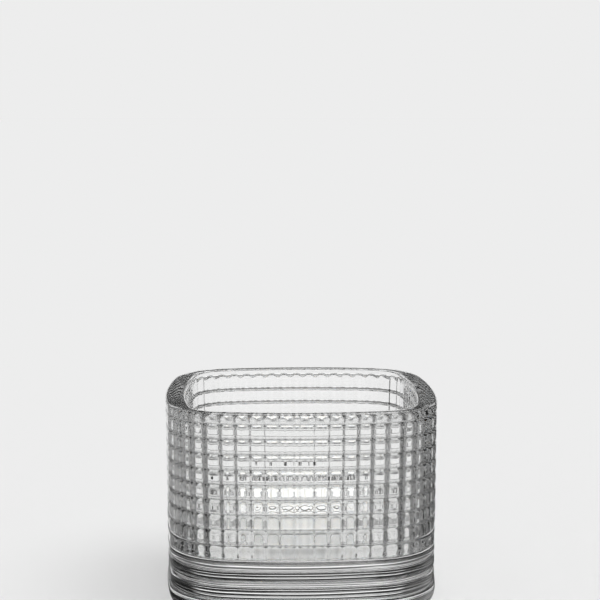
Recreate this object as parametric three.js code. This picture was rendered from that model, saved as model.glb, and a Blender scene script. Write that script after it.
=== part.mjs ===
// Votive candle holder: a thick pressed-glass vessel of rounded-square plan, with level
// rings on its outer wall and upright reeds on its inner wall that cross into a grid of
// small squares, and the loose tealight it holds.
// Millimetres, +Z up. The origin is on the table, under the middle of the base.
import * as THREE from 'three';

// ---- driving dimensions -------------------------------------------------------
const HEIGHT = 70;          // table to rim
const HALF = 47;            // half-width over the rings, at the rim
const SIDE_R = 187;         // the four sides bow out on this radius
const CORNER_R = 24;        // plan radius of the corners
const DRAFT = 0.69;         // the outer wall leans in by this much from rim to table, each side

const ROW = 5.0;            // height of a level ring on the outer wall
const ROWS = 9;             // full rings
const FIRST_GROOVE = 66.9;  // height of the first groove, under the rim band
const GROOVE = 0.9;         // depth of the grooves between rings
const REEDS = 60;           // upright reeds round the inner wall, one centred on each side
const REED_DEPTH = 0.7;     // the reeds stand proud of the inner wall by this much
const REED_TOP = 66.4;      // they are whole below this height and end round above it
const REED_END = 68.2;
const RIM_ROUND = 1.1;      // rounding of the rim's outer edge
const RIM_ROUND_IN = 0.8;   // rounding of the rim's inner edge

const RIB_GROOVES = [17.9, 12.95, 8.0]; // grooves between the smooth base ribs
const RIB_DEPTH = 0.6;      // depth of those grooves
const HEEL_OUT = 0.45;      // the heel stands proud of the wall by this much
const HEEL_R = 6.0;         // rounding of the heel

const WALL = 6.8;           // wall thickness at the rim
const INNER_DRAFT = 1.0;    // the inner wall leans in by this much from rim to floor, each side
const FLOOR = 18;           // height of the inner floor: the base below it is solid glass
const FLOOR_R = 6;          // fillet between inner wall and floor
const INNER_CORNER = 12 / 40; // inner corner radius as a share of the inner half-width

const GAP = 0.3;            // clearance between pieces that touch
const CUP_R = 19.0;         // tealight cup: outer radius at its mouth
const CUP_FOOT_R = 18.5;    // and at its foot
const CUP_H = 14.0;         // height
const CUP_WALL = 0.7;       // wall and floor
const WAX_TOP = 11.6;       // height of the wax over the cup's underside
const WICK_R = 0.9;
const WICK_TOP = 18.5;      // height of the wick's tip over the cup's underside
const CLIP_R = 6.5;         // wick sustainer: disc radius
const CLIP_T = 0.4;         // disc thickness
const COLLAR_R = 1.9;       // crimp collar: outer radius
const COLLAR_TOP = 6.0;     // and height over the cup's underside

// ---- plan of the vessel -------------------------------------------------------
// A square with bowed sides and round corners, walked by its own length from the
// middle of the -Y side, counter-clockwise seen from above.
function planPoint(half, sideR, cornerR, share) {
  if (half <= 0) return [0, 0];
  const a = sideR - half;
  const b = sideR - cornerR;
  const q = (-a + Math.sqrt(2 * b * b - a * a)) / 2;   // corner centre at (q, -q)
  const ang = Math.atan2(q, q + a);                    // half-angle of a side's arc
  const side = sideR * ang;
  const corner = cornerR * (Math.PI / 2 - 2 * ang);
  const quarter = 2 * side + corner;
  const turns = Math.floor(share * 4 + 1e-9);
  const s = (share * 4 - turns) * quarter;
  let x, y;
  if (s <= side) {
    const t = s / sideR;
    x = sideR * Math.sin(t);
    y = a - sideR * Math.cos(t);
  } else if (s <= side + corner) {
    const t = ang + (s - side) / cornerR;
    x = q + cornerR * Math.sin(t);
    y = -q - cornerR * Math.cos(t);
  } else {
    const t = Math.PI / 2 - (quarter - s) / sideR;
    x = -a + sideR * Math.sin(t);
    y = -sideR * Math.cos(t);
  }
  for (let k = 0; k < turns % 4; k++) [x, y] = [-y, x];
  return [x, y];
}
const outer = (half, share) =>
  planPoint(half, SIDE_R - (HALF - half), CORNER_R - (HALF - half), share);
const inner = (half, share) =>
  planPoint(half, SIDE_R * half / HALF, INNER_CORNER * half, share);

// ---- section of the vessel ----------------------------------------------------
// Rings from the middle of the underside, up the outer wall, over the rim and down
// to the middle of the inner floor. proud is the height of the reeds.
const envelope = (z) => HALF - DRAFT * (HEIGHT - z) / HEIGHT;
const rings = [];
const addOuter = (z, inset) => rings.push({ plan: outer, half: envelope(z) - inset, z, proud: 0 });
const addInner = (z, half, proud = 0) => rings.push({ plan: inner, half, z, proud });

const lastGroove = FIRST_GROOVE - ROWS * ROW;
const heelTop = HEEL_R;
rings.push({ plan: inner, half: 0, z: 0, proud: 0 });
for (const deg of [0, 30, 60, 90]) {
  const t = deg * Math.PI / 180;
  addOuter(HEEL_R - HEEL_R * Math.cos(t), HEEL_R * (1 - Math.sin(t)) - HEEL_OUT);
}
const ribs = [...RIB_GROOVES].reverse();
for (let k = 0; k < ribs.length; k++) {
  addOuter(ribs[k], RIB_DEPTH);
  const next = k + 1 < ribs.length ? ribs[k + 1] : lastGroove;
  addOuter((ribs[k] + next) / 2, 0);
}
for (let k = ROWS; k >= 0; k--) {
  const z = FIRST_GROOVE - k * ROW;
  addOuter(z, GROOVE);
  if (k > 0) {
    addOuter(z + ROW * 0.22, GROOVE * 0.03);
    addOuter(z + ROW * 0.78, GROOVE * 0.03);
  }
}
addOuter(HEIGHT - RIM_ROUND, 0);
addOuter(HEIGHT - RIM_ROUND * 0.29, RIM_ROUND * 0.29);
addOuter(HEIGHT, RIM_ROUND);
const innerTop = HALF - WALL;
addInner(HEIGHT, innerTop + RIM_ROUND_IN);
addInner(HEIGHT - RIM_ROUND_IN, innerTop);
const innerFoot = innerTop - INNER_DRAFT;
const innerHalf = (z) =>
  innerFoot + INNER_DRAFT * (z - FLOOR - FLOOR_R) / (HEIGHT - RIM_ROUND_IN - FLOOR - FLOOR_R);
addInner(REED_END, innerHalf(REED_END));
addInner(REED_TOP, innerHalf(REED_TOP), REED_DEPTH);
for (const deg of [0, 30, 60, 90]) {
  const t = deg * Math.PI / 180;
  addInner(FLOOR + FLOOR_R * (1 - Math.sin(t)), innerFoot - FLOOR_R * (1 - Math.cos(t)),
    REED_DEPTH * Math.min(1, (90 - deg) / 60));
}
rings.push({ plan: inner, half: 0, z: FLOOR, proud: 0 });

function vessel() {
  const seg = 2 * REEDS;
  const profile = rings.map((r) => new THREE.Vector2(r.half, r.z));
  const g = new THREE.LatheGeometry(profile, seg);
  const p = g.attributes.position;
  for (let k = 0; k < p.count; k++) {
    const column = Math.floor(k / rings.length) % seg;
    const r = rings[k % rings.length];
    const half = column % 2 ? r.half : r.half - r.proud;
    const [x, y] = r.plan(half, column / seg);
    p.setXYZ(k, x, y, r.z);
  }
  g.computeVertexNormals();
  return g;
}

// ---- round pieces of the tealight -----------------------------------------------
function turned(points, seg) {
  const g = new THREE.LatheGeometry(points.map(([r, z]) => new THREE.Vector2(r, z)), seg);
  const p = g.attributes.position;
  for (let k = 0; k < p.count; k++) {
    const [r, z] = points[k % points.length];
    const t = 2 * Math.PI * (Math.floor(k / points.length) % seg) / seg;
    p.setXYZ(k, r * Math.sin(t), -r * Math.cos(t), z);
  }
  g.computeVertexNormals();
  return g;
}

function cup() {
  const foot = CUP_FOOT_R;
  const wall = (z) => foot + (CUP_R - 0.4 - foot) * z / CUP_H; // outer face, under the lip
  return turned([
    [0, 0], [foot - 1.2, 0], [foot - 0.35, 0.35], [foot, 1.2],
    [wall(CUP_H - 1.0), CUP_H - 1.0], [CUP_R, CUP_H - 0.7], [CUP_R, CUP_H - 0.2],
    [CUP_R - 0.3, CUP_H], [wall(CUP_H) - CUP_WALL, CUP_H],
    [wall(1.5) - CUP_WALL, 1.5], [foot - 1.5, CUP_WALL], [0, CUP_WALL],
  ], 40);
}

function wax() {
  const face = (z) => CUP_FOOT_R + (CUP_R - 0.4 - CUP_FOOT_R) * z / CUP_H - CUP_WALL - GAP;
  const low = CUP_WALL + GAP;
  const bore = WICK_R + GAP;
  return turned([
    [CLIP_R + GAP, low], [face(1.9) - 0.9, low], [face(1.9), 1.9],
    [face(WAX_TOP - 0.5), WAX_TOP - 0.5], [face(WAX_TOP) - 0.9, WAX_TOP - 0.25],
    [bore + 2.2, WAX_TOP - 0.25], [bore + 0.5, WAX_TOP],
    [bore, WAX_TOP], [bore, COLLAR_TOP + GAP],
    [COLLAR_R + GAP, COLLAR_TOP + GAP], [COLLAR_R + GAP, low + CLIP_T + GAP],
    [CLIP_R + GAP, low + CLIP_T + GAP], [CLIP_R + GAP, low],
  ], 40);
}

function sustainer() {
  const low = CUP_WALL + GAP;
  const bore = WICK_R + GAP;
  return turned([
    [bore, low], [CLIP_R, low], [CLIP_R, low + CLIP_T], [COLLAR_R, low + CLIP_T],
    [COLLAR_R, COLLAR_TOP - 0.8], [COLLAR_R - 0.4, COLLAR_TOP], [bore, COLLAR_TOP], [bore, low],
  ], 32);
}

function wickGeometry() {
  const low = CUP_WALL + GAP;
  return turned([
    [0, low], [WICK_R, low], [WICK_R, WICK_TOP - 0.5], [WICK_R * 0.6, WICK_TOP], [0, WICK_TOP],
  ], 12);
}

// ---- assembly -------------------------------------------------------------------
const piece = (name, geometry, options) => {
  const mesh = new THREE.Mesh(geometry, new THREE.MeshStandardMaterial(options));
  mesh.name = name;
  return mesh;
};

const holder = new THREE.Group();
holder.add(piece('glass_holder', vessel(),
  { color: 0xf1f4f4, roughness: 0.03, metalness: 0, transparent: true, opacity: 0.35 }));

const tealight = new THREE.Group();
tealight.position.z = FLOOR + GAP;
tealight.add(piece('tealight_cup', cup(),
  { color: 0xf4f6f6, roughness: 0.08, metalness: 0, transparent: true, opacity: 0.35 }));
tealight.add(piece('wax_fill', wax(), { color: 0xf6f4ee, roughness: 0.55, metalness: 0 }));
tealight.add(piece('wick', wickGeometry(), { color: 0xefece2, roughness: 0.95, metalness: 0 }));
tealight.add(piece('wick_sustainer', sustainer(), { color: 0xc9cbcd, roughness: 0.35, metalness: 1 }));

const part = new THREE.Group();
part.add(holder, tealight);
export default part;
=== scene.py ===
import math

import bpy
import numpy as np
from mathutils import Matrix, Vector, noise


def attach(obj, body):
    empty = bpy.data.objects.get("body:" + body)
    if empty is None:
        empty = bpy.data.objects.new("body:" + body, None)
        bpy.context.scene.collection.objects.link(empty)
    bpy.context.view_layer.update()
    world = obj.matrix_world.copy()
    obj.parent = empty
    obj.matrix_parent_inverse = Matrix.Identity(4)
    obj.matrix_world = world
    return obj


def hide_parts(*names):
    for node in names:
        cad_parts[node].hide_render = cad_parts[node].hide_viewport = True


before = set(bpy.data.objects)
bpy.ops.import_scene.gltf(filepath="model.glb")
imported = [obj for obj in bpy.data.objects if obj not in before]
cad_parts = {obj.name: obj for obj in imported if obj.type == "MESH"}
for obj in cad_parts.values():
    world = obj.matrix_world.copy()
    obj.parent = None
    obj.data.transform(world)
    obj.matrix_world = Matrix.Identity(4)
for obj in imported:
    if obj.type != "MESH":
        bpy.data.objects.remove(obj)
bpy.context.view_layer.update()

MM = 0.001
scene = bpy.context.scene

# ---------------------------------------------------------------- camera
# Eye 517 mm from the vessel's axis and 167 mm over the table, turned a little to its left.
TURN, DIST, EYE, PITCH, FOCAL = 0.0335, 0.51715, 0.16669, 0.12522, 1495.0
cam_data = bpy.data.cameras.new("camera")
cam = bpy.data.objects.new("camera", cam_data)
scene.collection.objects.link(cam)
cam_data.sensor_width = 36.0
cam_data.lens = 36.0 * FOCAL / 600.0
cam_data.clip_start, cam_data.clip_end = 0.01, 100.0
cam.location = (-DIST * math.sin(TURN), -DIST * math.cos(TURN), EYE)
cam.rotation_euler = (math.pi / 2 - PITCH, 0.0, -TURN)
scene.camera = cam

# ---------------------------------------------------------------- dimensions (mm)
HEIGHT, HALF, SIDE_R, CORNER_R, DRAFT = 70.0, 47.0, 187.0, 24.0, 0.69
ROW, ROWS, FIRST_GROOVE = 5.0, 9, 66.9
LAST_GROOVE = FIRST_GROOVE - ROWS * ROW
LEVEL_DEPTH, LEVEL_POWER = 0.9, 6.0           # level grooves outside, with flat rings between
REEDS, REED_DEPTH, REED_CROWN = 60, 0.7, 0.64 # upright reeds on the inner face; crown's share of each
REED_TOP, REED_END = 66.4, 68.2               # their rounded ends under the rim
RIM_ROUND, RIM_ROUND_IN, RIM_CROWN = 1.1, 0.8, 0.06
RIB_GROOVES, RIB_DEPTH, RIB_POWER = (17.9, 12.95, 8.0), 0.6, 2.5
HEEL_OUT, HEEL_R = 0.45, 6.0
WALL, INNER_DRAFT, FLOOR, FLOOR_R, INNER_CORNER = 6.8, 1.0, 18.0, 6.0, 12.0 / 40.0
WAVE = 0.012                                  # slow waviness of the pressed faces

SEAT = FLOOR + 0.3                            # underside of the tealight cup
GAP = 0.3
CUP_R, CUP_FOOT_R, CUP_H, CUP_WALL = 19.0, 18.5, 14.0, 0.7
WAX_TOP, WICK_R, WICK_TOP = 11.6, 0.9, 18.5
CLIP_R, CLIP_T, COLLAR_R, COLLAR_TOP = 6.5, 0.4, 1.9, 6.0


# ---------------------------------------------------------------- mesh helpers
def new_object(name, verts, faces):
    me = bpy.data.meshes.new(name)
    me.from_pydata([tuple(v) for v in verts], [], faces)
    me.validate()
    me.update()
    me.shade_smooth()
    ob = bpy.data.objects.new(name, me)
    scene.collection.objects.link(ob)
    return ob


class Skin:
    """A skin over rings of points, given from its first pole to its last, in mm."""

    def __init__(self):
        self.verts, self.faces, self.last = [], [], None

    def add(self, points):
        start = len(self.verts)
        self.verts += [tuple(p) for p in np.asarray(points) * MM]
        return start

    def pole(self, point):
        c = self.add([point])
        if self.last is None:
            self.last = (c, 1)
        else:
            a, n = self.last
            self.faces += [(c, a + j, a + (j + 1) % n) for j in range(n)]

    def ring(self, points):
        b, m = self.add(points), len(points)
        if self.last is not None:
            a, n = self.last
            if n == 1:
                self.faces += [(a, b + (j + 1) % m, b + j) for j in range(m)]
            elif n == m:
                self.faces += [(a + j, a + (j + 1) % n, b + (j + 1) % n, b + j) for j in range(n)]
            elif n > m:                                   # k points of the old ring to one of the new
                k = n // m
                for j in range(m):
                    f = [a + (j * k + i) % n for i in range(k + 1)]
                    c0, c1 = b + j, b + (j + 1) % m
                    half = k // 2
                    self.faces += [(f[i], f[i + 1], c0) for i in range(half)]
                    self.faces.append((f[half], c1, c0))
                    self.faces += [(f[i], f[i + 1], c1) for i in range(half, k)]
            else:                                         # one point of the old ring to k of the new
                k = m // n
                for j in range(n):
                    f = [b + (j * k + i) % m for i in range(k + 1)]
                    c0, c1 = a + j, a + (j + 1) % n
                    half = k // 2
                    self.faces += [(f[i + 1], f[i], c0) for i in range(half)]
                    self.faces.append((f[half], c0, c1))
                    self.faces += [(f[i + 1], f[i], c1) for i in range(half, k)]
        self.last = (b, m)

    def close(self, first):
        """Join the last ring to the one that starts at vertex first."""
        a, n = self.last
        self.faces += [(a + j, a + (j + 1) % n, first + (j + 1) % n, first + j) for j in range(n)]

    def finish(self, name):
        return new_object(name, self.verts, self.faces)


def circle(r, z, n, lift=0.0):
    """A ring of n points; r, z and lift may vary round it."""
    t = np.linspace(0, 2 * np.pi, n, endpoint=False)
    r = np.broadcast_to(r, t.shape)
    return np.stack([r * np.sin(t), -r * np.cos(t), np.broadcast_to(z, t.shape) + lift], axis=1)


def arc(cx, cz, r, a0, a1, n):
    return [(cx + r * math.cos(math.radians(a)), cz + r * math.sin(math.radians(a)))
            for a in np.linspace(a0, a1, n)]


def smooth(a, b, x):
    t = min(max((x - a) / (b - a), 0.0), 1.0)
    return t * t * (3 - 2 * t)


def ripple(p, scale, seed):
    """Slow noise at points p (mm), roughly -1 to 1."""
    return np.array([noise.noise(Vector((x / scale + seed, y / scale - seed, z / scale + 2 * seed)))
                     for x, y, z in p])


# ---------------------------------------------------------------- the glass
def plan(half, side_r, corner_r, share):
    """Points and normals of the bowed, round-cornered square at shares of its own length."""
    a, b = side_r - half, side_r - corner_r
    q = (-a + math.sqrt(2 * b * b - a * a)) / 2
    ang = math.atan2(q, q + a)
    side, corner = side_r * ang, corner_r * (math.pi / 2 - 2 * ang)
    quarter = 2 * side + corner
    turns = np.floor(share * 4 + 1e-9)
    s = (share * 4 - turns) * quarter
    t1 = s / side_r
    t2 = ang + (s - side) / corner_r
    t3 = math.pi / 2 - (quarter - s) / side_r
    x = np.where(s <= side, side_r * np.sin(t1),
                 np.where(s <= side + corner, q + corner_r * np.sin(t2), -a + side_r * np.sin(t3)))
    y = np.where(s <= side, a - side_r * np.cos(t1),
                 np.where(s <= side + corner, -q - corner_r * np.cos(t2), -side_r * np.cos(t3)))
    nx = np.where(s <= side, np.sin(t1), np.where(s <= side + corner, np.sin(t2), np.sin(t3)))
    ny = -np.where(s <= side, np.cos(t1), np.where(s <= side + corner, np.cos(t2), np.cos(t3)))
    k = turns.astype(int) % 4
    c, sn = np.array([1, 0, -1, 0])[k], np.array([0, 1, 0, -1])[k]
    return np.stack([x * c - y * sn, x * sn + y * c], 1), np.stack([nx * c - ny * sn, nx * sn + ny * c], 1)


def envelope(z):
    return HALF - DRAFT * (HEIGHT - z) / HEIGHT


def groove(v, power, depth):
    """Depth across one ring or reed, 0 on its crown; v runs from -0.5 to 0.5 between groove bottoms."""
    return depth * np.abs(2 * np.asarray(v, float)) ** power


def wave_of(u, crown, depth):
    """A round crown that flows into a narrower round valley."""
    a, c = np.abs(np.asarray(u, float)), crown / 2
    k = depth / (c * c + c * (0.5 - c))
    return np.where(a < c, k * a * a, depth - k * c / (0.5 - c) * (0.5 - a) ** 2)


CELL_U = np.array([-0.5, -0.445, -0.39, -0.335, -0.27, -0.15, 0.0, 0.15, 0.27, 0.335, 0.39, 0.445])
CELL_V = np.array([-0.5, -0.475, -0.435, -0.37, -0.27, -0.12, 0.12, 0.27, 0.37, 0.435, 0.475])
RIB_V = np.array([-0.5, -0.46, -0.38, -0.26, -0.09, 0.09, 0.26, 0.38, 0.46])


def shares(u):
    s = (np.repeat(np.arange(REEDS), len(u)) + np.tile(u, REEDS)) / REEDS
    return np.where(s < 0, s + 1, s)


def build_glass():
    fine, coarse = shares(CELL_U), shares(CELL_U[::2])
    reed = REED_DEPTH - wave_of(np.tile(CELL_U, REEDS), REED_CROWN, REED_DEPTH)
    skin = Skin()

    def outer(z, inset, wave=0.4):
        half = envelope(z)
        p, n = plan(half, SIDE_R - (HALF - half), CORNER_R - (HALF - half), coarse)
        p3 = np.column_stack([p, np.full(len(p), z)])
        p3[:, :2] -= n * (inset + wave * WAVE * ripple(p3, 9.0, 3.1))[:, None]
        skin.ring(p3)

    def inner(z, half, wave=1.0, lift=0.0, cut=None):
        """A ring of the rim, the inner face or the floor; cut is what the reeds have lost of their height."""
        share = coarse if cut is None else fine
        p, n = plan(half, SIDE_R * half / HALF, INNER_CORNER * half, share)
        p3 = np.column_stack([p, np.full(len(p), z)])
        w = wave * WAVE * ripple(p3, 11.0, 7.7)
        p3[:, :2] += n * (w - (0.0 if cut is None else np.maximum(0.0, reed - cut)))[:, None]
        p3[:, 2] += lift * w
        skin.ring(p3)

    # underside and heel
    skin.pole((0, 0, 0))
    for k in (0.25, 0.55, 0.85):
        inner(0.0, k * (envelope(0) - HEEL_R + HEEL_OUT), wave=0.0)
    for t in np.linspace(90, 0, 10):
        a = math.radians(t)
        outer(HEEL_R - HEEL_R * math.sin(a), HEEL_R * (1 - math.cos(a)) - HEEL_OUT, wave=math.cos(a))
    low = RIB_GROOVES[-1]
    for t in (22, 44, 64, 80):
        a = math.radians(t)
        outer(HEEL_R + (low - HEEL_R) * math.sin(a),
              (RIB_DEPTH + HEEL_OUT) * (1 - math.cos(a)) - HEEL_OUT, wave=1.0)
    # smooth ribs, from the lowest up
    edges = [*RIB_GROOVES[::-1], LAST_GROOVE]
    for lo, hi in zip(edges[:-1], edges[1:]):
        for v in RIB_V:
            top = hi == LAST_GROOVE and v > 0
            outer(lo + (v + 0.5) * (hi - lo),
                  groove(v, LEVEL_POWER if top else RIB_POWER, LEVEL_DEPTH if top else RIB_DEPTH), wave=1.0)
    # level rings
    for row in range(ROWS):
        base = LAST_GROOVE + row * ROW
        for v in CELL_V:
            outer(base + (v + 0.5) * ROW, groove(v, LEVEL_POWER, LEVEL_DEPTH))
    # the ring that the rim cuts short
    for v in (-0.5, -0.475, -0.435, -0.37, -0.27, -0.18):
        outer(FIRST_GROOVE + (v + 0.5) * ROW, groove(v, LEVEL_POWER, LEVEL_DEPTH))
    for t in np.linspace(0, 90, 7):
        a = math.radians(t)
        outer(HEIGHT - RIM_ROUND + RIM_ROUND * math.sin(a), RIM_ROUND * (1 - math.cos(a)))
    # rim face
    top = HALF - WALL
    for k in (0.75, 0.5, 0.25):
        half = top + RIM_ROUND_IN + k * (WALL - RIM_ROUND - RIM_ROUND_IN)
        inner(HEIGHT + RIM_CROWN * 4 * k * (1 - k), half, wave=0.3, lift=0.3)
    for t in np.linspace(90, 0, 6):
        a = math.radians(t)
        inner(HEIGHT - RIM_ROUND_IN + RIM_ROUND_IN * math.sin(a), top + RIM_ROUND_IN * (1 - math.cos(a)))
    # inner face with its reeds, which end round under the rim and run out in the round above the floor
    foot = top - INNER_DRAFT
    ends = [REED_TOP + (REED_END - REED_TOP) * math.sin(math.radians(t)) for t in range(90, -1, -10)]
    for z in (*ends, 62.0, 56.0, 50.0, 44.0, 38.0, 32.0, 27.0):
        f = (z - FLOOR - FLOOR_R) / (HEIGHT - RIM_ROUND_IN - FLOOR - FLOOR_R)
        along = min(1.0, max(0.0, (z - REED_TOP) / (REED_END - REED_TOP)))
        inner(z, foot + (top - foot) * f, cut=REED_DEPTH * (1 - math.sqrt(1 - along ** 2)))
    for t in np.linspace(0, 90, 10):
        a = math.radians(t)
        inner(FLOOR + FLOOR_R * (1 - math.sin(a)), foot - FLOOR_R * (1 - math.cos(a)), lift=math.sin(a),
              cut=REED_DEPTH * smooth(30, 85, t) if t < 85 else None)
    for k in (0.8, 0.6, 0.4, 0.2):
        inner(FLOOR, k * (foot - FLOOR_R), wave=0.0)
    skin.pole((0, 0, FLOOR))
    return skin.finish("votive_glass")


# ---------------------------------------------------------------- the tealight
def cup_face(z):
    return CUP_FOOT_R + (CUP_R - 0.4 - CUP_FOOT_R) * z / CUP_H


def build_cup():
    """Clear moulded cup: foot ring, ribbed wall, rolled lip and three pips that centre the wick's foot."""
    n = 144
    t = np.linspace(0, 2 * np.pi, n, endpoint=False)
    skin = Skin()
    skin.pole((0, 0, SEAT + 0.22))
    for r, z in [(3.0, 0.22), (9.0, 0.22), (14.6, 0.2), (15.6, 0.06), (16.2, 0.0), (17.2, 0.0)]:
        skin.ring(circle(r, SEAT + z, n))
    for r, z in arc(CUP_FOOT_R - 1.25, 1.25, 1.25, -72, 0, 5):
        skin.ring(circle(r, SEAT + z, n))
    ribs = 0.05 * (np.cos(36 * t) - 1)                    # fine upright flutes on the wall
    for z in (1.9, 2.6, 4.6, 7.2, 9.8, 11.4, 12.2):
        fade = smooth(1.9, 3.4, z) * (1 - smooth(11.0, 12.2, z))
        skin.ring(circle(cup_face(z) + fade * ribs, SEAT + z, n))
    for r, z in arc(CUP_R - 0.45, CUP_H - 0.5, 0.45, -80, 150, 9):
        skin.ring(circle(r, SEAT + z, n))
    for z in (13.3, 12.4, 10.5, 8.0, 5.0, 2.6):
        skin.ring(circle(cup_face(z) - CUP_WALL, SEAT + z, n))
    for r, z in arc(cup_face(2) - CUP_WALL - 1.2, CUP_WALL + 1.2, 1.2, -12, -86, 5):
        skin.ring(circle(r, SEAT + z, n))
    pip = np.maximum(0, np.cos(3 * t)) ** 12
    for r, h in [(14.0, 0), (9.0, 0), (7.8, 0.0), (7.4, 0.16), (7.0, 0.2), (6.8, 0.14), (6.2, 0.0), (3.0, 0)]:
        skin.ring(circle(r, SEAT + CUP_WALL, n, h * pip))
    skin.pole((0, 0, SEAT + CUP_WALL))
    return skin.finish("clear_cup")


def build_wax():
    """Poured wax: a dished top that creeps up the cup's wall and the wick, bored for the wick and its foot."""
    n = 144
    skin = Skin()
    low, bore = CUP_WALL + GAP, WICK_R + GAP
    face = lambda z: cup_face(z) - CUP_WALL - GAP

    def ring(r, z, wave=0.0):
        p = circle(r, SEAT + z, n)
        if wave:
            p[:, 2] += wave * (0.6 * ripple(p, 6.0, 1.3) + 0.4 * ripple(p, 2.2, 5.9))
        skin.ring(p)

    first = len(skin.verts)
    ring(CLIP_R + GAP, low)
    for r in (9.0, 12.0, 15.0, face(1.9) - 0.9):
        ring(r, low)
    for r, z in arc(face(1.9) - 0.9, low + 0.9, 0.9, -65, -5, 4):
        ring(r, z)
    for z in (3.5, 5.5, 7.5, 9.5, 10.6):
        ring(face(z), z)
    ring(face(11.1), 11.1, 0.03)
    ring(face(11.3) - 0.06, 11.34, 0.03)
    ring(face(11.3) - 0.25, 11.42, 0.03)
    for r, z in [(17.0, 11.3), (16.4, 11.18), (15.6, 11.09), (14.4, 11.02), (13.0, 10.98), (11.4, 10.96),
                 (9.8, 10.95), (8.2, 10.96), (6.8, 10.99), (5.6, 11.03), (4.6, 11.06), (3.8, 11.05),
                 (3.1, 11.03), (2.5, 11.08), (2.05, 11.2), (1.7, 11.36)]:
        ring(r, z, 0.07)
    ring(bore + 0.2, 11.5)
    ring(bore + 0.06, 11.52)
    ring(bore, 11.46)
    for z in (10.0, 8.0, COLLAR_TOP + GAP):
        ring(bore, z)
    ring(COLLAR_R + GAP, COLLAR_TOP + GAP)
    ring(COLLAR_R + GAP, 4.0)
    ring(COLLAR_R + GAP, low + CLIP_T + GAP)
    ring(CLIP_R + GAP, low + CLIP_T + GAP)
    skin.close(first)
    return skin.finish("wax")


def build_wick():
    """Three twisted strands of a waxed cotton wick, with the tip bent a little."""
    low = SEAT + CUP_WALL + GAP + 0.05
    top = SEAT + WICK_TOP - 0.1
    strand, off, pitch = 0.40, 0.462, 5.2
    verts, faces = [], []
    sides, steps = 12, 84

    def axis(z):
        b = max(0.0, z - (top - 5.5)) / 5.5
        return Vector((0.28 * b * b, -0.1 * b * b, z))

    for s in range(3):
        end = top - (0.0, 0.35, 0.18)[s]
        path = []
        for i in range(steps + 1):
            z = low + (end - low) * i / steps
            a = 2 * math.pi * (z - low) / pitch + 2 * math.pi * s / 3
            fray = 1 + 0.25 * smooth(top - 1.2, top, z)
            path.append(axis(z) + Vector((off * fray * math.cos(a), off * fray * math.sin(a), 0)))
        start = len(verts)
        for i, p in enumerate(path):
            d = (path[min(i + 1, steps)] - path[max(i - 1, 0)]).normalized()
            u = d.orthogonal().normalized() if i == 0 else (u - d * u.dot(d)).normalized()
            w = d.cross(u)
            taper = min(1.0, 0.55 + 0.45 * (steps - i) / 3.0)
            for k in range(sides):
                a = 2 * math.pi * k / sides
                ply = strand * taper * (1 + 0.05 * math.cos(3 * a + 1.7 * i))
                verts.append((p + u * (ply * math.cos(a)) + w * (ply * math.sin(a))) * MM)
        for i in range(steps):
            for k in range(sides):
                b0, b1 = start + i * sides, start + (i + 1) * sides
                faces.append((b0 + k, b0 + (k + 1) % sides, b1 + (k + 1) % sides, b1 + k))
        verts += [path[0] * MM, path[-1] * MM + Vector((0, 0, 0.00012))]
        c0, c1, e = len(verts) - 2, len(verts) - 1, start + steps * sides
        for k in range(sides):
            faces.append((c0, start + (k + 1) % sides, start + k))
            faces.append((c1, e + k, e + (k + 1) % sides))
    return new_object("braided_wick", verts, faces)


def build_sustainer():
    """Stamped disc with a pressed ring, a turned edge and a collar crimped at four places."""
    n = 96
    t = np.linspace(0, 2 * np.pi, n, endpoint=False)
    skin = Skin()
    low, bore = CUP_WALL + GAP, WICK_R + GAP
    crimp = np.maximum(0, np.cos(4 * t)) ** 6

    def ring(r, z):
        skin.ring(circle(r, SEAT + z, n))

    first = len(skin.verts)
    ring(bore, low)
    for r, z in [(1.7, 0.0), (2.6, 0.0), (3.2, 0.04), (3.7, 0.14), (4.2, 0.14), (4.7, 0.04), (5.2, 0.0), (5.9, 0.0)]:
        ring(r, low + z)
    for r, z in arc(CLIP_R - 0.18, low + CLIP_T / 2, 0.18, -80, 80, 6):
        ring(r, z)
    for r, z in [(5.9, 0.4), (5.2, 0.4), (4.7, 0.43), (4.2, 0.5), (3.7, 0.5), (3.2, 0.43), (2.7, 0.4)]:
        ring(r, low + z)
    for r, z in arc(COLLAR_R + 0.5, low + CLIP_T + 0.5, 0.5, -95, -175, 4):
        ring(r, z)
    for z, k in [(2.4, 0.1), (3.0, 0.7), (3.6, 1.0), (4.2, 0.7), (4.8, 0.1)]:
        ring(COLLAR_R - 0.22 * k * crimp, z)
    for r, z in arc(COLLAR_R - 0.35, COLLAR_TOP - 0.35, 0.35, 0, 90, 4):
        ring(r, z)
    ring(bore + 0.08, COLLAR_TOP)
    ring(bore, COLLAR_TOP - 0.1)
    for z in (4.8, 3.6, 2.4):
        ring(bore, z)
    skin.close(first)
    return skin.finish("wick_foot")


# ---------------------------------------------------------------- node helpers
def material(name):
    m = bpy.data.materials.new(name)
    m.use_nodes = True
    nt = m.node_tree
    for n in list(nt.nodes):
        if n.type not in ("OUTPUT_MATERIAL", "BSDF_PRINCIPLED"):
            nt.nodes.remove(n)
    return m, nt, nt.nodes["Principled BSDF"]


def add(nt, kind, **settings):
    n = nt.nodes.new(kind)
    for k, v in settings.items():
        if k in n.inputs:
            n.inputs[k].default_value = v
        else:
            setattr(n, k, v)
    return n


def noise_of(nt, coord, scale, detail=3.0, rough=0.55):
    n = add(nt, "ShaderNodeTexNoise", Scale=scale, Detail=detail, Roughness=rough)
    nt.links.new(coord, n.inputs["Vector"])
    return n.outputs["Fac"]


def ranged(nt, fac, lo, hi, a=0.0, b=1.0):
    n = add(nt, "ShaderNodeMapRange")
    nt.links.new(fac, n.inputs[0])
    for i, v in enumerate((a, b, lo, hi)):
        n.inputs[i + 1].default_value = v
    return n.outputs[0]


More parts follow.
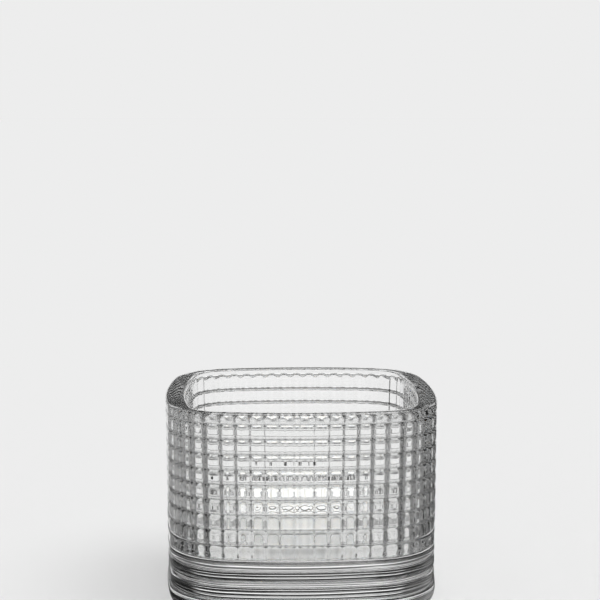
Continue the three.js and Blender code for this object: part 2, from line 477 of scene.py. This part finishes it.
def between(nt, fac, c0, c1):
    n = add(nt, "ShaderNodeMix", data_type="RGBA")
    nt.links.new(fac, n.inputs[0])
    n.inputs[6].default_value = (*c0, 1)
    n.inputs[7].default_value = (*c1, 1)
    return n.outputs[2]


def bump(nt, height, strength, distance, before=None):
    n = add(nt, "ShaderNodeBump", Strength=strength, Distance=distance)
    nt.links.new(height, n.inputs["Height"])
    if before is not None:
        nt.links.new(before, n.inputs["Normal"])
    return n.outputs["Normal"]


def finish_piece(ob, mat, body, node):
    ob.data.materials.append(mat)
    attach(ob, body)
    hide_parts(node)


# ---------------------------------------------------------------- materials
def glass_material():
    m, nt, p = material("pressed_glass")
    pos = add(nt, "ShaderNodeTexCoord").outputs["Object"]
    p.inputs["Transmission Weight"].default_value = 1.0
    p.inputs["IOR"].default_value = 1.5
    p.inputs["Base Color"].default_value = (0.99, 0.992, 0.99, 1)
    p.inputs["Roughness"].default_value = 0.0
    # fire-polished skin: a faint orange-peel from the mould under the gloss
    nt.links.new(bump(nt, noise_of(nt, pos, 260.0, 2.0), 0.003, 0.0001), p.inputs["Normal"])
    return m


def cup_material():
    m, nt, p = material("clear_polycarbonate")
    pos = add(nt, "ShaderNodeTexCoord").outputs["Object"]
    p.inputs["Transmission Weight"].default_value = 1.0
    p.inputs["IOR"].default_value = 1.45
    p.inputs["Base Color"].default_value = (0.985, 0.988, 0.99, 1)
    p.inputs["Roughness"].default_value = 0.0
    nt.links.new(bump(nt, noise_of(nt, pos, 420.0, 2.0), 0.04, 0.0001), p.inputs["Normal"])
    return m


def wax_material():
    m, nt, p = material("poured_wax")
    pos = add(nt, "ShaderNodeTexCoord").outputs["Object"]
    cloud = noise_of(nt, pos, 140.0, 4.0)
    grain = noise_of(nt, pos, 1500.0, 3.0)
    nt.links.new(between(nt, cloud, (0.82, 0.817, 0.805), (0.87, 0.867, 0.856)), p.inputs["Base Color"])
    nt.links.new(ranged(nt, cloud, 0.38, 0.62, 0.3, 0.7), p.inputs["Roughness"])
    p.inputs["IOR"].default_value = 1.44
    p.inputs["Subsurface Weight"].default_value = 0.8
    p.inputs["Subsurface Radius"].default_value = (1.0, 0.95, 0.88)
    p.inputs["Subsurface Scale"].default_value = 0.008
    nt.links.new(bump(nt, grain, 0.12, 0.0001, bump(nt, cloud, 0.25, 0.0004)), p.inputs["Normal"])
    return m


def cotton_material():
    m, nt, p = material("waxed_cotton")
    pos = add(nt, "ShaderNodeTexCoord").outputs["Object"]
    yarn = add(nt, "ShaderNodeTexWave", wave_type="BANDS", bands_direction="DIAGONAL",
               Scale=1500.0, Distortion=2.5, Detail=2.0)
    nt.links.new(pos, yarn.inputs["Vector"])
    fuzz = noise_of(nt, pos, 2600.0, 3.0)
    nt.links.new(between(nt, yarn.outputs["Fac"], (0.70, 0.68, 0.62), (0.90, 0.89, 0.85)), p.inputs["Base Color"])
    nt.links.new(ranged(nt, fuzz, 0.7, 0.95), p.inputs["Roughness"])
    p.inputs["Sheen Weight"].default_value = 0.25
    nt.links.new(bump(nt, fuzz, 0.3, 0.00005, bump(nt, yarn.outputs["Fac"], 0.5, 0.00008)), p.inputs["Normal"])
    return m


def tin_material():
    m, nt, p = material("tinned_steel")
    pos = add(nt, "ShaderNodeTexCoord").outputs["Object"]
    rolled = add(nt, "ShaderNodeMapping")
    rolled.inputs["Scale"].default_value = (60.0, 2400.0, 400.0)
    nt.links.new(pos, rolled.inputs["Vector"])
    lines = noise_of(nt, rolled.outputs[0], 1.0, 4.0)
    spots = noise_of(nt, pos, 700.0, 4.0)
    nt.links.new(between(nt, spots, (0.62, 0.63, 0.64), (0.82, 0.83, 0.84)), p.inputs["Base Color"])
    p.inputs["Metallic"].default_value = 1.0
    nt.links.new(ranged(nt, lines, 0.22, 0.42), p.inputs["Roughness"])
    nt.links.new(bump(nt, lines, 0.15, 0.00004), p.inputs["Normal"])
    return m


finish_piece(build_glass(), glass_material(), "holder", "glass_holder")
finish_piece(build_cup(), cup_material(), "tealight", "tealight_cup")
finish_piece(build_wax(), wax_material(), "tealight", "wax_fill")
finish_piece(build_wick(), cotton_material(), "tealight", "wick")
finish_piece(build_sustainer(), tin_material(), "tealight", "wick_sustainer")


# ---------------------------------------------------------------- stage and light
# Bright-field light, as glass is photographed: a pale sweep behind the glass in the world, dark elsewhere, with no
# card objects in the scene.
# The floor's colour, seen only through or off the glass, is painted light and shade: pale behind, round and under
# the glass, painted shade elsewhere, which gives the clear edges their dark lines.
def srgb(v):
    v /= 255.0
    return v / 12.92 if v <= 0.04045 else ((v + 0.055) / 1.055) ** 2.4


PALE = srgb(237)
ALBEDO = 0.62
CONTRAST = 0.8                                # below 1: a harder print, with the pale table's tone kept
SUN_SHARE = 0.18
DARKEST = 0.015                                  # darkest level: of the dark studio light, and of the painted shade on the floor as the glass sees it
# Pale areas that the glass sees, in degrees round from the back and up, edges soft.
LOW = ((-13, -5, 6, 12), (-90, -80, 6, 8))    # sweep behind, at the horizon
MIDDLE = ((-40, -26, -14, -8), (-90, -80, 18, 26)) # its dim part, to the left
HIGH = ((-17, -11, 19, 27), (11.5, 13.5, 18, 22)) # and above a dark band
CEILING = (-8, -4, 4, 8), (33, 37, 55, 62)
FACING = (142, 150, 181, 190), (33, 37, 55, 62)
WEDGE, SKIRT = (29, 34), (50, 60)             # half-widths of the pale table behind: far and close
SKIRT0, SKIRT1 = 0.100, 0.120                 # where the wider part ends (m)
GAIN, SHADOW = 1.05, 0.2                      # painted light on the table behind, a little over its own tone; painted shadow close behind the glass
NEAR0, NEAR1, CLOSE = 0.044, 0.056, 1.0       # pale table close round the glass (m)
BESIDE = 0.4                                  # share of that left beside the glass, the rest painted shade
UNDER0, UNDER1, UNDER = 0.034, 0.044, 1.45    # painted light under the base, lifting the table where the glass's own shade falls
BEFORE, FRONT = (152, 162), 1.0               # pale table before the glass
STRIP0, STRIP1 = 3.0, 5.0                     # low bright strip beyond each side
CORNERS = ((-94, -80, -30, -26), (92, 104, 158, 166))   # painted light, dimmer, on the table beyond the back left and front right corners
CORNER_LIGHT = 0.42
ABOVE = (((-64, -54, -36, -26), (8, 12, 26, 34)), ((116, 126, 144, 154), (8, 12, 24, 32)), # and sweep over it
         ((-104, -97, -83, -76), (9, 12, 22, 28)))


R = math.radians


class Graph:
    def __init__(self, nt):
        self.nt = nt

    def math(self, op, *values):
        n = self.nt.nodes.new("ShaderNodeMath")
        n.operation = op
        for i, v in enumerate(values):
            if isinstance(v, (int, float)):
                n.inputs[i].default_value = v
            else:
                self.nt.links.new(v, n.inputs[i])
        return n.outputs[0]

    def step(self, x, a, b, lo, hi):
        n = self.nt.nodes.new("ShaderNodeMapRange")
        n.interpolation_type = "SMOOTHSTEP"
        self.nt.links.new(x, n.inputs[0])
        for i, v in enumerate((a, b, lo, hi)):
            n.inputs[i + 1].default_value = v
        return n.outputs[0]

    def between(self, x, a, b, c, d):
        """1 from b to c (degrees), falling to 0 at a and d."""
        return self.math("MULTIPLY", self.step(x, R(a), R(b), 0, 1), self.step(x, R(c), R(d), 1, 0))

    def most(self, *values):
        out = values[0]
        for v in values[1:]:
            out = self.math("MAXIMUM", out, v)
        return out

    def split(self, vector):
        n = self.nt.nodes.new("ShaderNodeSeparateXYZ")
        self.nt.links.new(vector, n.inputs[0])
        return n.outputs[0], n.outputs[1], n.outputs[2]

    def quarter(self, az):
        """How far an azimuth is from the nearest of the four sides."""
        wrapped = self.math("MODULO", self.math("ADD", az, 2 * math.pi + math.pi / 4), math.pi / 2)
        return self.math("ABSOLUTE", self.math("SUBTRACT", wrapped, math.pi / 4))

    def plain_ray(self):
        """1 for rays straight from the camera or scattered by a matt surface, 0 through or off the glass."""
        lp = self.nt.nodes.new("ShaderNodeLightPath")
        matt = self.math("GREATER_THAN", lp.outputs["Diffuse Depth"], 0.5)
        return self.math("MAXIMUM", lp.outputs["Is Camera Ray"], matt), lp.outputs["Is Camera Ray"], matt

    def lerp(self, fac, a, b):
        """a where fac is 0, b where it is 1."""
        n = self.nt.nodes.new("ShaderNodeMix")
        for i, v in ((0, fac), (2, a), (3, b)):
            if isinstance(v, (int, float)):
                n.inputs[i].default_value = v
            else:
                self.nt.links.new(v, n.inputs[i])
        return n.outputs[0]


# Floor: plain pale to the camera and to matt surfaces; to the glass its colour is painted light and shade
floor_me = bpy.data.meshes.new("floor")
floor_me.from_pydata([(-30, -30, -0.0003), (30, -30, -0.0003), (30, 30, -0.0003), (-30, 30, -0.0003)], [], [(0, 1, 2, 3)])
floor = bpy.data.objects.new("floor", floor_me)
scene.collection.objects.link(floor)
fm, nt, bsdf = material("pale_floor_painted_light")
g = Graph(nt)
x, y, _ = g.split(add(nt, "ShaderNodeNewGeometry").outputs["Position"])
rad = g.math("SQRT", g.math("ADD", g.math("MULTIPLY", x, x), g.math("MULTIPLY", y, y)))
azs = g.math("ARCTAN2", x, y)
az = g.math("ABSOLUTE", azs)
back = g.step(az, R(WEDGE[0]), R(WEDGE[1]), 1, 0)
skirt = g.math("MULTIPLY", g.step(az, R(SKIRT[0]), R(SKIRT[1]), 1, 0), g.step(rad, SKIRT0, SKIRT1, 1, 0))
front = g.step(az, R(BEFORE[0]), R(BEFORE[1]), 0, FRONT)
side = g.math("MULTIPLY", g.step(g.quarter(azs), R(18), R(28), 1, 0), g.step(rad, 0.7, 1.1, 0, 1))
# pale table round the glass, with painted shade beside it
near = g.math("MULTIPLY", g.step(rad, NEAR0, NEAR1, CLOSE, 0),
              g.math("SUBTRACT", 1, g.math("MULTIPLY", g.between(az, 50, 65, 115, 130), 1 - BESIDE)))
# painted light under the base, against the glass's own shade
under = g.step(rad, UNDER0, UNDER1, UNDER, 0)
# painted light, dimmer, on the table beyond two corners
corners = g.math("MULTIPLY", g.math("ADD", g.between(azs, *CORNERS[0]), g.between(azs, *CORNERS[1])), CORNER_LIGHT)
# painted shadow on the table just behind the glass
shadow = g.math("MULTIPLY", g.step(az, R(10), R(20), 1, 0), g.math("MULTIPLY", g.step(rad, 0.058, 0.066, 0, 1),
                                                                  g.step(rad, 0.13, 0.16, 1, 0)))
# painted light over the whole table behind
back = g.math("MULTIPLY", g.lerp(shadow, back, SHADOW), GAIN)
# painted light and shade that only rays through or off the glass see; its darkest level is painted shade
painted_light_and_shade = g.math("MAXIMUM", g.most(back, g.math("SUBTRACT", skirt, shadow), front, side, near, under, corners),
                 DARKEST / PALE)
plain, _, _ = g.plain_ray()
shade = g.math("MULTIPLY", g.lerp(plain, painted_light_and_shade, 1.0), ALBEDO)
grey = add(nt, "ShaderNodeCombineColor")
for i in range(3):
    nt.links.new(shade, grey.inputs[i])
nt.links.new(grey.outputs[0], bsdf.inputs["Base Color"])
bsdf.inputs["Roughness"].default_value = 1.0
bsdf.inputs["Specular IOR Level"].default_value = 0.0
floor_me.materials.append(fm)

world = bpy.data.worlds.new("studio")
scene.world = world
world.use_nodes = True
nt = world.node_tree
bg = nt.nodes["Background"]
g = Graph(nt)
x, y, z = g.split(add(nt, "ShaderNodeTexCoord").outputs["Generated"])
azs = g.math("ARCTAN2", x, y)
el = g.math("ARCSINE", z)
az = g.math("ABSOLUTE", azs)


def area(x, spans, value):
    return g.math("MULTIPLY", g.math("MULTIPLY", g.between(x, *spans[0]), g.between(el, *spans[1])), value)


strip = g.math("MULTIPLY", g.step(g.quarter(azs), R(18), R(28), 1, 0), g.step(el, R(STRIP0), R(STRIP1), PALE, 0))
glass_sees = g.most(area(azs, LOW, 1.0), area(azs, MIDDLE, 0.3), area(azs, HIGH, 1.05), area(azs, CEILING, 0.57),
                    area(az, FACING, 0.8), *(area(azs, a, CORNER_LIGHT) for a in ABOVE), strip, DARKEST)
_, seen, matt = g.plain_ray()
ambient = PALE * (1 - SUN_SHARE) / ALBEDO
value = g.lerp(seen, g.lerp(matt, glass_sees, ambient), PALE)
nt.links.new(value, bg.inputs["Color"])
bg.inputs["Strength"].default_value = 1.0
world.cycles.sampling_method = "NONE"

SUN_EL, SUN_AZ = 64.0, 100.0                  # a large soft light, high on the right
sun_data = bpy.data.lights.new("soft_light", "SUN")
sun_data.angle = R(45)
sun_data.energy = PALE * SUN_SHARE / ALBEDO * math.pi / math.sin(R(SUN_EL))
sun = bpy.data.objects.new("soft_light", sun_data)
scene.collection.objects.link(sun)
sun.rotation_euler = Vector((math.cos(R(SUN_EL)) * math.sin(R(SUN_AZ)), math.cos(R(SUN_EL)) * math.cos(R(SUN_AZ)),
                             math.sin(R(SUN_EL)))).to_track_quat("Z", "Y").to_euler()
sun.visible_glossy = False
sun.visible_transmission = False

scene.view_settings.view_transform = "Standard"
scene.view_settings.look = "None"
scene.view_settings.gamma = CONTRAST
scene.view_settings.exposure = math.log2(PALE ** (CONTRAST - 1))   # keeps the pale table's tone
c = scene.cycles
c.max_bounces = 40
c.transmission_bounces = 40
c.glossy_bounces = 40
c.diffuse_bounces = 3
c.transparent_max_bounces = 16
c.caustics_reflective = True
c.caustics_refractive = True
c.blur_glossy = 0.0
c.use_denoising = True
c.denoiser = "OPENIMAGEDENOISE"
